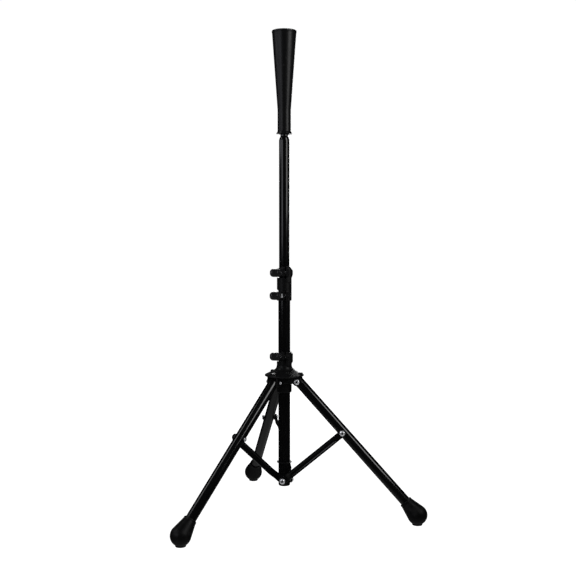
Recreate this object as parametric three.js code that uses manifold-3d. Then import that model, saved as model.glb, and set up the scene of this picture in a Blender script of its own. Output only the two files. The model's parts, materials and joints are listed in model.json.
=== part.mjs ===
// Batting tee on a folding tripod.
//
// Millimetres, +Z up, ground at z = 0. Each piece is one closed solid in its own mesh.
// The column carries a telescoping upper tube with a rubber ball cone. A sliding hub holds
// three legs, and a flat brace joins each leg to the foot of the column, so that the legs
// close when the hub slides up the column. Each leg is built in its own frame: X outwards,
// Y anticlockwise seen from above, and the brace lies on the clockwise side, which is -Y.

import * as THREE from 'three';
import { mergeVertices } from 'three/addons/utils/BufferGeometryUtils.js';
import Module from 'manifold-3d';

const wasm = await Module();
wasm.setup();

// ---------------------------------------------------------------- driving dimensions

const gap = 0.3; // between faces of neighbouring pieces
const legCount = 3;
const tubeSides = 20;
const legSides = 18;
const smallSides = 12;

const mainTube = { outer: 12.7, wall: 1.2, bottom: 69.3, top: 512 };
const upperTube = { outer: 11.1, wall: 1.1, bottom: 400, shoulder: 806, neck: 8, top: 862 };
const cone = { bottom: 818, top: 1034.5, footRadius: 16.75, sleeveRadius: 14.1, rimRadius: 26.2 };
const coneWall = { socket: 8.25, sleeveTop: 869, rimInner: 22.4 };

const hubPivot = { radius: 31.4, height: 293 };
const foot = { radius: 287.6, height: 21.3, bulb: 21.1, pad: 10.5 };
const legTube = { outer: 11, wall: 1.3, above: 4, belowBulb: 9 };
const bracePivotAlongLeg = 144.3;
const columnPivotHeight = 76.6;
const brace = { halfWidth: 7.5, inner: 13.3, thick: 2.8, bow: 3.2, bowThick: 4, flat: 14, bend: 10 };

const forkGap = 11.7; // half the space between the cheeks of a leg fork
const forkCheek = 15.6; // outer face of a cheek, from the middle of the leg
const legEndSweep = 12.9; // radius that the top end of a leg needs around its pivot

const bolt = { head: 6, headThick: 3.4, shank: 2.9, hole: 3.3, socketFlats: 4.68 };
const nut = { flats: 9.5, thick: 4.5, proud: 0.8 }; // proud is the bolt's end beyond the nut
const knob = { radius: 8.8, neck: 7.4, root: -6.6, length: 23.8 };
const clampAxis = 22.5; // from the tube's axis to the clamp screw's axis
const ear = { right: 9.5, radius: 8, pocket: 5.4, slitAt: 2.5, slitHalf: 1.2 };

// The turn is in degrees from the clamp heading, and boss is where the ear ends towards the knob.
const hubClamp = { height: 347.6, turn: -1.5, boss: -5.6 };
const upperClamp = { height: 525.6, turn: 0, boss: -5.6 };
const lowerClamp = { height: 477, turn: -1.5, boss: -1.6 };
const collar = { bottom: 465.4, top: 514.7, radius: 15.7, bandRadius: 16.4, bandOffset: 2 };
const hubFlange = { radius: 42, low: 303.6, high: 306.2 };
const hubBore = { bottom: 268, top: 335, neck: 16.1 };
const rubberSleeve = { radius: 13.8, top: 37 }; // of a foot, measured along the leg from its bulb

// ---------------------------------------------------------------- derived dimensions

const legSpan = foot.radius - hubPivot.radius;
const legDrop = hubPivot.height - foot.height;
const legTilt = Math.atan2(legSpan, legDrop); // from the vertical
const legLength = Math.hypot(legSpan, legDrop); // leg pivot to bulb centre
const bracePivot = {
  x: hubPivot.radius + bracePivotAlongLeg * Math.sin(legTilt),
  z: hubPivot.height - bracePivotAlongLeg * Math.cos(legTilt),
};
const braceRise = bracePivot.z - columnPivotHeight;
const braceLength = Math.hypot(bracePivot.x, braceRise);
const braceTilt = Math.atan2(braceRise, bracePivot.x); // above the horizontal
const braceOuter = brace.inner + brace.thick;

// The feet reach further to +X than to -X, and the origin is under the middle of that box.
const reachFront = foot.radius + foot.bulb;
const reachBack = foot.radius * Math.cos(Math.PI / legCount) + foot.bulb;
const columnX = (reachBack - reachFront) / 2;

const legAngles = Array.from({ length: legCount }, (_, i) => (i * 2 * Math.PI) / legCount);

// The clamps face the side of the stand where the first leg points to the right.
const clampHeading = 14.6;

// ---------------------------------------------------------------- solids

function toSolid(geometry) {
  const bare = geometry.clone();
  bare.deleteAttribute('normal');
  bare.deleteAttribute('uv');
  const merged = mergeVertices(bare, 1e-3);
  const corners = merged.index.array;
  const kept = [];
  for (let i = 0; i < corners.length; i += 3) {
    const [a, b, c] = corners.slice(i, i + 3);
    if (a !== b && b !== c && c !== a) {
      kept.push(a, b, c);
    }
  }
  return new wasm.Manifold(new wasm.Mesh({
    numProp: 3,
    vertProperties: new Float32Array(merged.attributes.position.array),
    triVerts: new Uint32Array(kept),
  }));
}

function toGeometry(solid) {
  const mesh = solid.getMesh();
  const geometry = new THREE.BufferGeometry();
  geometry.setAttribute('position', new THREE.BufferAttribute(mesh.vertProperties, 3));
  geometry.setIndex(new THREE.BufferAttribute(mesh.triVerts, 1));
  geometry.computeVertexNormals();
  return geometry;
}

const join = (first, ...rest) => toGeometry(
  rest.reduce((solid, other) => solid.add(toSolid(other)), toSolid(first)),
);
const cut = (first, ...rest) => toGeometry(
  rest.reduce((solid, other) => solid.subtract(toSolid(other)), toSolid(first)),
);
const common = (first, other) => toGeometry(toSolid(first).intersect(toSolid(other)));

// A round solid about Z from a profile of [radius, height], outer side upwards.
function revolve(profile, sides = tubeSides) {
  const points = profile.map(([radius, height]) => new THREE.Vector2(radius, height));
  return new THREE.LatheGeometry(points, sides).rotateX(Math.PI / 2);
}

// A ring or tube about Z, whose profile closes on itself.
function ring(inner, outer, low, high, sides = tubeSides) {
  return revolve([[inner, low], [outer, low], [outer, high], [inner, high], [inner, low]], sides);
}

function post(radius, low, high, sides = smallSides) {
  return new THREE.CylinderGeometry(radius, radius, high - low, sides)
    .rotateX(Math.PI / 2)
    .translate(0, 0, (low + high) / 2);
}

// The same about Y or X, from low to high on that axis.
function postY(radius, low, high, sides = smallSides) {
  return post(radius, low, high, sides).rotateX(-Math.PI / 2);
}

function postX(radius, low, high, sides = smallSides) {
  return post(radius, low, high, sides).rotateY(Math.PI / 2);
}

function block(x0, x1, y0, y1, z0, z1) {
  return new THREE.BoxGeometry(x1 - x0, y1 - y0, z1 - z0)
    .translate((x0 + x1) / 2, (y0 + y1) / 2, (z0 + z1) / 2);
}

// An outline of [x, z] given a thickness along Y.
function slab(outline, low, high) {
  const shape = Array.isArray(outline)
    ? new THREE.Shape(outline.map(([x, z]) => new THREE.Vector2(x, z)))
    : outline;
  return new THREE.ExtrudeGeometry(shape, { depth: high - low, bevelEnabled: false, curveSegments: 6 })
    .rotateX(Math.PI / 2)
    .translate(0, high, 0);
}

function hexPost(flats, low, high) {
  return post(flats / Math.sqrt(3), low, high, 6);
}

// ---------------------------------------------------------------- finishes

const finishes = {
  paint: { color: 0x070707, roughness: 0.22, metalness: 0.1 },
  plastic: { color: 0x0b0b0c, roughness: 0.45, metalness: 0 },
  rubber: { color: 0x141416, roughness: 0.7, metalness: 0 },
  zinc: { color: 0xb9bcc0, roughness: 0.3, metalness: 1 },
  blackZinc: { color: 0x232426, roughness: 0.4, metalness: 1 },
  nylon: { color: 0x0d0d0d, roughness: 0.6, metalness: 0 },
};

function addPiece(parent, name, geometry, finish) {
  const mesh = new THREE.Mesh(geometry, new THREE.MeshStandardMaterial(finishes[finish]));
  mesh.name = name;
  parent.add(mesh);
}

function frameAt(parent, x, y, z) {
  const frame = new THREE.Group();
  frame.position.set(x, y, z);
  parent.add(frame);
  return frame;
}

// ---------------------------------------------------------------- fasteners

// A socket head whose seat is at z = 0, with its shank down to -length.
function socketHead() {
  const { head, headThick, socketFlats } = bolt;
  const dome = revolve([
    [0, 0], [head, 0], [head, 1.4], [head * 0.75, headThick], [0, headThick],
  ], smallSides);
  return cut(dome, hexPost(socketFlats, headThick - 2, headThick + 1));
}

function socketScrew(length) {
  return join(socketHead(), post(bolt.shank, -length, 0.5));
}

function hexNut() {
  return cut(hexPost(nut.flats, 0, nut.thick), post(bolt.shank + gap, -1, nut.thick + 1));
}

// ---------------------------------------------------------------- clamps and their knobs

// The two ears of a split clamp, on the -Y side, with the screw's axis along X.
function clampEars({ height, boss }) {
  const lug = postX(ear.radius, boss, ear.right, 16).translate(0, -clampAxis, height);
  const web = block(boss, ear.right, -clampAxis, -9, height - ear.radius, height + ear.radius);
  return join(lug, web);
}

// The slit between the ears, the screw's hole and the pocket that holds the nut.
function clampCuts({ height, boss }, slitLow, slitHigh) {
  const { right, pocket, slitAt, slitHalf } = ear;
  const slit = block(slitAt - slitHalf, slitAt + slitHalf, -clampAxis - 12, -6, slitLow, slitHigh);
  const screwHole = postX(bolt.hole, boss - 1, right + 1).translate(0, -clampAxis, height);
  const nutPocket = hexPost(nut.flats + 1, pocket, right + 1)
    .rotateY(Math.PI / 2)
    .translate(0, -clampAxis, height);
  return [slit, screwHole, nutPocket];
}

function knobGeometry() {
  const { radius, neck, length } = knob;
  const body = revolve([
    [0, 0], [neck, 0], [neck, 1.6], [radius, 2.8], [radius, length - 8], [radius * 0.95, length - 5],
    [radius * 0.8, length - 2.8], [radius * 0.53, length - 0.9], [radius * 0.27, length], [0, length],
  ], 16);
  return cut(body, post(bolt.hole, -1, 12));
}

// The screw's tail sits in the knob, its collar bears on the ear, and its end takes the nut.
function clampScrewGeometry(clamp) {
  const start = knob.root + gap;
  const seat = clamp.boss - gap;
  const tail = post(bolt.shank, start - 11, start + 0.5);
  const collarOnScrew = post(4.4, start, seat);
  const shank = post(bolt.shank, seat - 0.5, ear.right - 0.5);
  return join(tail, collarOnScrew, shank).rotateY(Math.PI / 2);
}

function heading(clamp) {
  return THREE.MathUtils.degToRad(clamp.turn + clampHeading);
}

function addClampHardware(parent, name, clamp) {
  const frame = frameAt(parent, 0, 0, clamp.height);
  frame.rotation.z = heading(clamp);
  const knobBody = knobGeometry().rotateY(-Math.PI / 2).translate(knob.root, -clampAxis, 0);
  addPiece(frame, `${name}_knob`, knobBody, 'plastic');
  addPiece(frame, `${name}_screw`, clampScrewGeometry(clamp).translate(0, -clampAxis, 0), 'zinc');
  const clampNut = hexNut().rotateY(Math.PI / 2).translate(ear.pocket + gap, -clampAxis, 0);
  addPiece(frame, `${name}_nut`, clampNut, 'blackZinc');
}

function turned(geometry, clamp) {
  return geometry.rotateZ(heading(clamp));
}

// ---------------------------------------------------------------- column pieces

function mainTubeGeometry() {
  const { outer, wall, bottom, top } = mainTube;
  return cut(ring(outer - wall, outer, bottom, top), ...lowerScrewHoles(outer + 2));
}

function lowerScrewHoles(reach) {
  return legAngles.map((angle) => postY(bolt.hole, -reach, -4)
    .translate(0, 0, columnPivotHeight)
    .rotateZ(angle));
}

function columnEndPlugGeometry() {
  const { outer, wall, bottom } = mainTube;
  const stem = outer - wall - gap;
  const cap = bottom - gap;
  const body = revolve([
    [0, 64.8], [10.4, 64.8], [outer, 67], [outer, cap], [stem, cap], [stem, 95], [0, 95],
  ]);
  return cut(body, ...lowerScrewHoles(outer));
}

function tubeCollarGeometry() {
  const { bottom, top, radius, bandRadius, bandOffset } = collar;
  const inside = radius - 6;
  const sleeve = revolve([
    [inside, bottom], [radius - 0.8, bottom], [radius, bottom + 1.4], [radius, top - 1.1],
    [radius - 1, top], [inside, top], [inside, bottom],
  ]);
  const upperBand = common(
    post(bandRadius, 500, 545, tubeSides).translate(bandOffset, 0, 0),
    slab([
      [-30, 518.2], [-4, 518.2], [3, 505], [15, 505], [15.6, 513.5], [18.6, 522], [18.6, 529],
      [12, 538.5], [4, 539.5], [-30, 530],
    ], -30, 30),
  );
  const lowerNotch = slab([
    [-30, 483.5], [-11, 483.5], [-11, 485.5], [-15.5, 489.5], [-30, 489.5],
  ], -30, 30);
  const sleeveWithNotch = cut(sleeve, turned(lowerNotch, lowerClamp));
  const moulded = join(
    sleeveWithNotch,
    turned(upperBand, upperClamp),
    turned(clampEars(upperClamp), upperClamp),
    turned(clampEars(lowerClamp), lowerClamp),
  );
  return cut(
    moulded,
    post(mainTube.outer + gap, bottom - 1, mainTube.top + gap, tubeSides),
    post(upperTube.outer + gap, mainTube.top, 560, tubeSides),
    ...clampCuts(upperClamp, 512.5, 560).map((solid) => turned(solid, upperClamp)),
    ...clampCuts(lowerClamp, bottom - 1, 487.5).map((solid) => turned(solid, lowerClamp)),
  );
}

function upperTubeGeometry() {
  const { outer, wall, bottom, shoulder, neck, top } = upperTube;
  return revolve([
    [outer, bottom], [outer, shoulder], [outer - 0.5, shoulder + 2.3], [outer - 1.5, shoulder + 4.6],
    [neck, shoulder + 8], [neck, top], [neck - wall, top], [neck - wall, shoulder + 6],
    [outer - wall, shoulder - 1], [outer - wall, bottom], [outer, bottom],
  ]);
}

function guidePlugGeometry() {
  const { outer, wall, bottom } = upperTube;
  const stem = outer - wall - gap;
  const flange = bottom - gap;
  return revolve([
    [6, flange - 6], [11.3, flange - 6], [11.3, flange],
    [stem, flange], [stem, bottom + 18], [6, bottom + 18], [6, flange - 6],
  ]);
}

function ballConeGeometry() {
  const { bottom, top, footRadius, sleeveRadius, rimRadius } = cone;
  const { socket, sleeveTop, rimInner } = coneWall;
  return revolve([
    [socket, bottom], [footRadius, bottom], [footRadius, bottom + 4.2], [sleeveRadius, bottom + 4.8],
    [sleeveRadius, sleeveTop], [rimRadius, top - 2], [rimRadius - 0.6, top], [rimInner + 0.4, top],
    [rimInner, top - 1], [socket + 2.2, sleeveTop + 3], [socket, sleeveTop - 3], [socket, bottom],
  ], 24);
}

// ---------------------------------------------------------------- hub

// The space that a leg needs in its fork, from spread to closed.
function forkSpace() {
  const { radius: x, height: z } = hubPivot;
  const outline = new THREE.Shape();
  outline.moveTo(x - legEndSweep, z - 40);
  outline.lineTo(x + 40, z - 40);
  outline.lineTo(x + 40, z);
  outline.lineTo(x + legEndSweep, z);
  outline.absarc(x, z, legEndSweep, 0, Math.PI, false);
  outline.closePath();
  return slab(outline, -forkGap, forkGap);
}

// The cheeks of one fork, with round lugs around the leg's pivot, inside the flange's edge.
function forkCheeks() {
  const { radius, low, high } = hubFlange;
  const cheeks = join(
    block(0, radius, -forkCheek, forkCheek, 288.5, (low + high) / 2),
    block(0, 28, -forkCheek, forkCheek, 300, 308.5),
    postY(9.5, -forkCheek, forkCheek, 16).translate(hubPivot.radius, 0, hubPivot.height),
  );
  return common(cheeks, post(radius - 2.7, 270, 310, 32));
}

// The hood on the flange over the end of a leg.
function legHood() {
  const { radius, high } = hubFlange;
  const arch = postX(11.5, 14, radius - 2.5, 20).translate(0, 0, 300.5);
  return common(arch, block(14, radius, -forkCheek, forkCheek, high - 3, high + 20));
}

function tripodHubGeometry() {
  const bore = mainTube.outer + gap;
  const { bottom, top, neck } = hubBore;
  const { radius, low, high } = hubFlange;
  const turnedBody = revolve([
    [bore, bottom], [15, bottom], [16, bottom + 1.6], [16, 288.5], [19, 288.5], [19, 308.5],
    [24, 308.5], [radius - 4.6, low], [radius, low], [radius, high], [29, 312.4], [20, 317.4],
    [17, 321.6], [neck, 326], [neck, top], [bore, top], [bore, bottom],
  ], 32);
  const band = common(
    post(16.5, 315, 365, tubeSides).translate(2.1, 0, 0),
    slab([
      [-30, 336.5], [-11, 336.5], [1, 331.5], [9, 324.5], [15.5, 324.5], [16.4, 331], [18.6, 334],
      [18.6, 350.6], [12.4, 356.4], [-12, 350], [-30, 350],
    ], -30, 30),
  );
  const moulded = join(
    turnedBody,
    ...legAngles.map((angle) => forkCheeks().rotateZ(angle)),
    ...legAngles.map((angle) => legHood().rotateZ(angle)),
    turned(band, hubClamp),
    turned(clampEars(hubClamp), hubClamp),
  );
  const forks = legAngles.map((angle) => forkSpace().rotateZ(angle));
  const boltHoles = legAngles.map((angle) => postY(bolt.hole, -20, 20)
    .translate(hubPivot.radius, 0, hubPivot.height)
    .rotateZ(angle));
  return cut(
    moulded,
    ...forks,
    ...boltHoles,
    post(bore, 260, 370, tubeSides),
    ...clampCuts(hubClamp, 331, 370).map((solid) => turned(solid, hubClamp)),
  );
}

// ---------------------------------------------------------------- legs and braces

function legTubeGeometry() {
  const { outer, wall, above, belowBulb } = legTube;
  const tube = ring(outer - wall, outer, -legLength + belowBulb, above, legSides);
  return cut(
    tube,
    postY(bolt.hole, -outer - 2, outer + 2),
    postY(bolt.hole, -outer - 2, outer + 2).translate(0, 0, -bracePivotAlongLeg),
  );
}

function legEndPlugGeometry() {
  const stem = legTube.outer - legTube.wall - gap;
  const seat = legTube.above + gap;
  const body = revolve([
    [0, -14], [stem, -14], [stem, seat], [legTube.outer, seat], [legTube.outer, seat + 0.6],
    [legTube.outer - 1.2, seat + 2], [0, seat + 2],
  ], legSides);
  return cut(body, postY(bolt.hole, -20, 20));
}

// A sleeve that runs as a cone into a round bulb, with a flat pad that lies level.
function rubberFootGeometry() {
  const { radius: sleeve, top } = rubberSleeve;
  const tangent = Math.atan2(top, sleeve) - Math.acos(foot.bulb / Math.hypot(sleeve, top));
  const bore = legTube.outer + gap;
  const boreFloor = legTube.belowBulb - gap;
  const steps = 6;
  const bulb = Array.from({ length: steps + 1 }, (_, i) => {
    const angle = -Math.PI / 2 + ((tangent + Math.PI / 2) * i) / steps;
    return [foot.bulb * Math.max(Math.cos(angle), 0), foot.bulb * Math.sin(angle)];
  });
  bulb[0][0] = 0;
  const body = revolve([
    ...bulb, [sleeve, top - 1], [sleeve - 0.8, top], [bore, top], [bore, boreFloor], [0, boreFloor],
  ], legSides);
  const pad = post(foot.pad, -foot.height, -foot.height / 2, 16).rotateY(legTilt);
  return join(body, pad);
}

function saddleSpacerGeometry() {
  const washer = postY(6.5, -brace.inner + gap, -8.5, 14);
  const saddle = post(legTube.outer + gap, -10, 10, legSides);
  return cut(washer, saddle, postY(bolt.shank + gap, -20, 0));
}

function braceGeometry() {
  const { halfWidth, inner, thick, bow, bowThick, flat, bend } = brace;
  const start = -halfWidth - 1;
  const end = braceLength + halfWidth + 1;
  const side = new THREE.Shape([
    [start, inner], [flat, inner], [flat + bend, inner + bow], [braceLength - flat - bend, inner + bow],
    [braceLength - flat, inner], [end, inner], [end, inner + thick], [braceLength - flat, inner + thick],
    [braceLength - flat - bend, inner + bow + bowThick], [flat + bend, inner + bow + bowThick],
    [flat, inner + thick], [start, inner + thick],
  ].map(([x, y]) => new THREE.Vector2(x, -y)));
  const strip = new THREE.ExtrudeGeometry(side, { depth: 2 * halfWidth + 4, bevelEnabled: false })
    .translate(0, 0, -halfWidth - 2);
  const outline = new THREE.Shape();
  outline.absarc(0, 0, halfWidth, Math.PI / 2, (3 * Math.PI) / 2, false);
  outline.absarc(braceLength, 0, halfWidth, -Math.PI / 2, Math.PI / 2, false);
  outline.closePath();
  return cut(
    common(strip, slab(outline, -30, 0)),
    postY(bolt.hole, -30, 0),
    postY(bolt.hole, -30, 0).translate(braceLength, 0, 0),
  );
}

// ---------------------------------------------------------------- the stand

const battingTee = new THREE.Group();
const stand = frameAt(battingTee, columnX, 0, 0);

addPiece(stand, 'tripod_hub', tripodHubGeometry(), 'plastic');
addClampHardware(stand, 'hub_clamp', hubClamp);

addPiece(stand, 'main_tube', mainTubeGeometry(), 'paint');
addPiece(stand, 'column_end_plug', columnEndPlugGeometry(), 'plastic');
addPiece(stand, 'stop_ring', ring(mainTube.outer + gap, 16.2, 114.5, 117.5), 'rubber');
addPiece(stand, 'tube_collar', tubeCollarGeometry(), 'plastic');
addClampHardware(stand, 'upper_collar', upperClamp);
addClampHardware(stand, 'lower_collar', lowerClamp);

addPiece(stand, 'upper_tube', upperTubeGeometry(), 'paint');
addPiece(stand, 'upper_tube_guide_plug', guidePlugGeometry(), 'nylon');
addPiece(stand, 'ball_cone', ballConeGeometry(), 'rubber');

function addLeg(letter, angle) {
  const side = frameAt(stand, 0, 0, 0);
  side.rotation.z = angle;

  const pivot = frameAt(side, hubPivot.radius, 0, hubPivot.height);
  const pivotBolt = socketScrew(forkCheek * 2 + nut.thick + 2 * gap + nut.proud)
    .rotateX(Math.PI / 2)
    .translate(0, -forkCheek - gap, 0);
  addPiece(pivot, `leg_pivot_bolt_${letter}`, pivotBolt, 'zinc');
  const pivotNut = hexNut().rotateX(-Math.PI / 2).translate(0, forkCheek + gap, 0);
  addPiece(pivot, `leg_pivot_nut_${letter}`, pivotNut, 'blackZinc');

  const leg = frameAt(pivot, 0, 0, 0);
  leg.rotation.y = -legTilt;
  addPiece(leg, `leg_tube_${letter}`, legTubeGeometry(), 'paint');
  addPiece(leg, `leg_end_plug_${letter}`, legEndPlugGeometry(), 'nylon');
  addPiece(leg, `rubber_foot_${letter}`, rubberFootGeometry().translate(0, 0, -legLength), 'rubber');

  const joint = frameAt(leg, 0, 0, -bracePivotAlongLeg);
  addPiece(joint, `brace_spacer_${letter}`, saddleSpacerGeometry(), 'nylon');
  const nutSeat = legTube.outer + gap;
  const shankEnd = nutSeat + nut.thick + nut.proud;
  addPiece(joint, `brace_bolt_shank_${letter}`, postY(bolt.shank, -brace.inner + gap, shankEnd), 'zinc');
  const braceNut = hexNut().rotateX(-Math.PI / 2).translate(0, nutSeat, 0);
  addPiece(joint, `brace_bolt_nut_${letter}`, braceNut, 'blackZinc');

  const strut = frameAt(side, 0, 0, columnPivotHeight);
  strut.rotation.y = -braceTilt;
  addPiece(strut, `brace_${letter}`, braceGeometry(), 'paint');
  const braceHead = socketScrew(brace.thick)
    .rotateX(Math.PI / 2)
    .translate(braceLength, -braceOuter - gap, 0);
  addPiece(strut, `brace_bolt_head_${letter}`, braceHead, 'zinc');

  const lowerScrew = socketScrew(braceOuter - 5)
    .rotateX(Math.PI / 2)
    .translate(0, -braceOuter - gap, columnPivotHeight);
  addPiece(side, `brace_lower_screw_${letter}`, lowerScrew, 'zinc');
}

legAngles.forEach((angle, i) => addLeg('abc'[i], angle));

export default battingTee;
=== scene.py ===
# The looks of the batting tee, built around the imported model.
#
# The row frame is in metres, +Z up. Each piece is drawn in millimetres in a frame of its own
# (the clamp's, the leg's, the brace's). to_mesh() or moulded() turns it into a mesh in metres,
# and place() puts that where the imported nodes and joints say.

import json
import math

import bmesh
import bpy
from mathutils import Matrix, Vector


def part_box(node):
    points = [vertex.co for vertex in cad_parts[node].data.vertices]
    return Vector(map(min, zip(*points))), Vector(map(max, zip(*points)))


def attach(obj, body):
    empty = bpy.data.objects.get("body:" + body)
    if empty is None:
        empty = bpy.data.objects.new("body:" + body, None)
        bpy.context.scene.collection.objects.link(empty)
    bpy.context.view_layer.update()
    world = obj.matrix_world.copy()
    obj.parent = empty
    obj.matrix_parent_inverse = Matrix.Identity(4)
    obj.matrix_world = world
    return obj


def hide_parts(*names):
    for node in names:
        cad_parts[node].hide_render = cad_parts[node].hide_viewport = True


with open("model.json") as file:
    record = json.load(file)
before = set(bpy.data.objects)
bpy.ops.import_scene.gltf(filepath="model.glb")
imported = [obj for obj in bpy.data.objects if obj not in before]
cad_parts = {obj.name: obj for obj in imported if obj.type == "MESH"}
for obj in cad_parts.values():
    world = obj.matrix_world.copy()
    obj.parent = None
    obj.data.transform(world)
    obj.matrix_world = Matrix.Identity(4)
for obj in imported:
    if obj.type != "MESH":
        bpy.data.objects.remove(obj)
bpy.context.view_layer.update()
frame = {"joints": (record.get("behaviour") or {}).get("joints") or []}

MM = 0.001
TURN = 2 * math.pi

# ---------------------------------------------------------------- places, from the frame

JOINTS = {joint["name"]: joint for joint in frame["joints"]}
LETTERS = "abc"


def middle(node):
    low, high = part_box(node)
    return (low + high) / 2


def radius_of(node):
    """Half a round node's width along Y, in millimetres."""
    low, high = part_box(node)
    return (high.y - low.y) / 2 / MM


def joint_place(name):
    """Where a joint's axis is, in metres."""
    return Vector(JOINTS[name]["pos_m"])


COLUMN = middle("main_tube") * Vector((1, 1, 0))
PIVOT = joint_place("leg_a_fold")
BRACE_FOOT = joint_place("brace_a_fold")
BRACE_BOLT = middle("brace_bolt_shank_a")

LEG_TILT = math.atan2(BRACE_BOLT.x - PIVOT.x, PIVOT.z - BRACE_BOLT.z)
BRACE_DROP = math.hypot(BRACE_BOLT.x - PIVOT.x, PIVOT.z - BRACE_BOLT.z) / MM
BRACE_TILT = math.atan2(BRACE_BOLT.z - BRACE_FOOT.z, BRACE_BOLT.x - BRACE_FOOT.x)
BRACE_LENGTH = math.hypot(BRACE_BOLT.z - BRACE_FOOT.z, BRACE_BOLT.x - BRACE_FOOT.x) / MM
PIVOT_RADIUS = (PIVOT.x - COLUMN.x) / MM

FOOT_HEIGHT = 21.3  # of the centre of a foot's bulb above the ground
LEG_LENGTH = (PIVOT.z / MM - FOOT_HEIGHT) / math.cos(LEG_TILT)

GAP = 0.3  # between neighbouring pieces
MAIN_RADIUS = radius_of("main_tube")
MAIN_WALL = 1.2
UPPER_RADIUS = radius_of("upper_tube")
UPPER_WALL = 1.1
LEG_RADIUS = 11.0
LEG_WALL = 1.3
LEG_TOP = 4.0  # end of a leg tube above its pivot
CHEEK = 15.6  # outer face of a fork's cheek, from the middle of the leg
FORK_GAP = 11.7  # half the space between the cheeks of a fork
LEG_END_SWEEP = 12.9  # radius that the top end of a leg needs around its pivot
CLAMP_AXIS = 22.5  # from the tube's axis to the clamp screw's
BOLT_RADIUS = 2.9
BOLT_HOLE = 3.3
BOLT_PROUD = 0.8  # a bolt's end beyond its nut
HEAD = {"radius": 6.0, "thick": 3.4, "depth": 2.0, "corner": 2.7}  # the last two are the socket's
THREAD = {"pitch": 1.0, "depth": 0.35, "step": 0.12}  # step is between the rings of the mesh


def column_at(height):
    return Matrix.Translation((COLUMN.x, COLUMN.y, height))


def side_at(letter, height=0.0):
    """X outwards along a leg, from the column's axis."""
    out = joint_place(f"leg_{letter}_fold") - COLUMN
    return column_at(height) @ Matrix.Rotation(math.atan2(out.y, out.x), 4, "Z")


def leg_at(letter):
    """Z up along a leg, from its pivot."""
    pivot = side_at(letter, PIVOT.z) @ Matrix.Translation((PIVOT_RADIUS * MM, 0, 0))
    return pivot @ Matrix.Rotation(-LEG_TILT, 4, "Y")


def strut_at(letter):
    """X up along a brace, from its lower screw."""
    return side_at(letter, BRACE_FOOT.z) @ Matrix.Rotation(-BRACE_TILT, 4, "Y")


def clamp_turn(name):
    """The heading of a clamp's screw, away from its knob."""
    away = -Vector(JOINTS[f"{name}_knob_turn"]["axis"])
    return math.atan2(away.y, away.x)


def clamp_at(name):
    """X along a clamp's screw away from the knob, from the tube's axis."""
    height = joint_place(f"{name}_knob_turn").z
    return column_at(height) @ Matrix.Rotation(clamp_turn(name), 4, "Z")


# ---------------------------------------------------------------- mesh code


def rounded(corners, steps=5):
    """An outline whose corners with a third value are rounded by that radius."""
    outline = []
    for i, (x, y, *radius) in enumerate(corners):
        corner = Vector((x, y))
        if not radius:
            outline.append(corner)
            continue
        before = Vector(corners[i - 1][:2]) - corner
        after = Vector(corners[(i + 1) % len(corners)][:2]) - corner
        reach = radius[0] / math.tan(before.angle(after) / 2)
        reach = min(reach, before.length * 0.49, after.length * 0.49)
        start = corner + before.normalized() * reach
        end = corner + after.normalized() * reach
        for step in range(steps + 1):
            t = step / steps
            outline.append(start.lerp(corner, t).lerp(corner.lerp(end, t), t))
    return [(point.x, point.y) for point in outline]


def lathe(outline, segments=96, closed=False, warp=None):
    """A solid about Z from [radius, height] points, with the outer side drawn upwards.

    An open outline starts and ends on the axis. warp(radius, height, angle) reshapes a ring.
    """
    solid = bmesh.new()
    rings = []
    for radius, height in outline:
        if radius < 1e-6:
            rings.append([solid.verts.new((0, 0, height))] * segments)
            continue
        ring = []
        for i in range(segments):
            angle = TURN * i / segments
            reach = warp(radius, height, angle) if warp else radius
            ring.append(solid.verts.new((reach * math.cos(angle), reach * math.sin(angle), height)))
        rings.append(ring)
    pairs = list(zip(rings, rings[1:]))
    if closed:
        pairs.append((rings[-1], rings[0]))
    for low, high in pairs:
        for i in range(segments):
            j = (i + 1) % segments
            solid.faces.new(list(dict.fromkeys((low[i], low[j], high[j], high[i]))))
    return solid


def tube(inner, outer, low, high, lip=0.4):
    outline = rounded([
        (inner, low, lip), (outer, low, lip), (outer, high, lip), (inner, high, lip),
    ])
    return lathe(outline, closed=True)


def rod(radius, low, high, segments=64):
    return lathe([(0, low), (radius, low), (radius, high), (0, high)], segments)


def slab(outline, low, high):
    """An outline of (x, z), anticlockwise seen from -Y, with a thickness along Y."""
    solid = bmesh.new()
    near = [solid.verts.new((x, low, z)) for x, z in outline]
    far = [solid.verts.new((x, high, z)) for x, z in outline]
    solid.faces.new(near)
    solid.faces.new(far[::-1])
    for i in range(len(outline)):
        j = (i + 1) % len(outline)
        solid.faces.new((near[i], far[i], far[j], near[j]))
    return solid


def block(x0, x1, y0, y1, z0, z1):
    return slab([(x0, z0), (x1, z0), (x1, z1), (x0, z1)], y0, y1)


def moved(solid, *steps):
    for step in steps:
        solid.transform(step)
    return solid


def shift(x=0.0, y=0.0, z=0.0):
    return Matrix.Translation((x, y, z))


def spin(angle, axis="Z"):
    return Matrix.Rotation(angle, 4, axis)


TO_X = spin(math.pi / 2, "Y")  # turns a solid about Z to lie along +X
TO_MINUS_X = spin(-math.pi / 2, "Y")
TO_Y = spin(-math.pi / 2, "X")
TO_MINUS_Y = spin(math.pi / 2, "X")


def mesh_of(solid, name):
    mesh = bpy.data.meshes.new(name)
    solid.to_mesh(mesh)
    solid.free()
    return mesh


def to_mesh(solid, sharp=38.0):
    """A finished mesh in metres from a solid in millimetres."""
    solid.transform(Matrix.Scale(MM, 4))
    mesh = mesh_of(solid, "piece")
    mesh.shade_smooth()
    mesh.set_sharp_from_angle(angle=math.radians(sharp))
    return mesh


def add_object(name, data):
    thing = bpy.data.objects.new(name, data)
    bpy.context.scene.collection.objects.link(thing)
    return thing


def scratch_object(solid):
    return add_object("scratch", mesh_of(solid, "scratch"))


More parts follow.
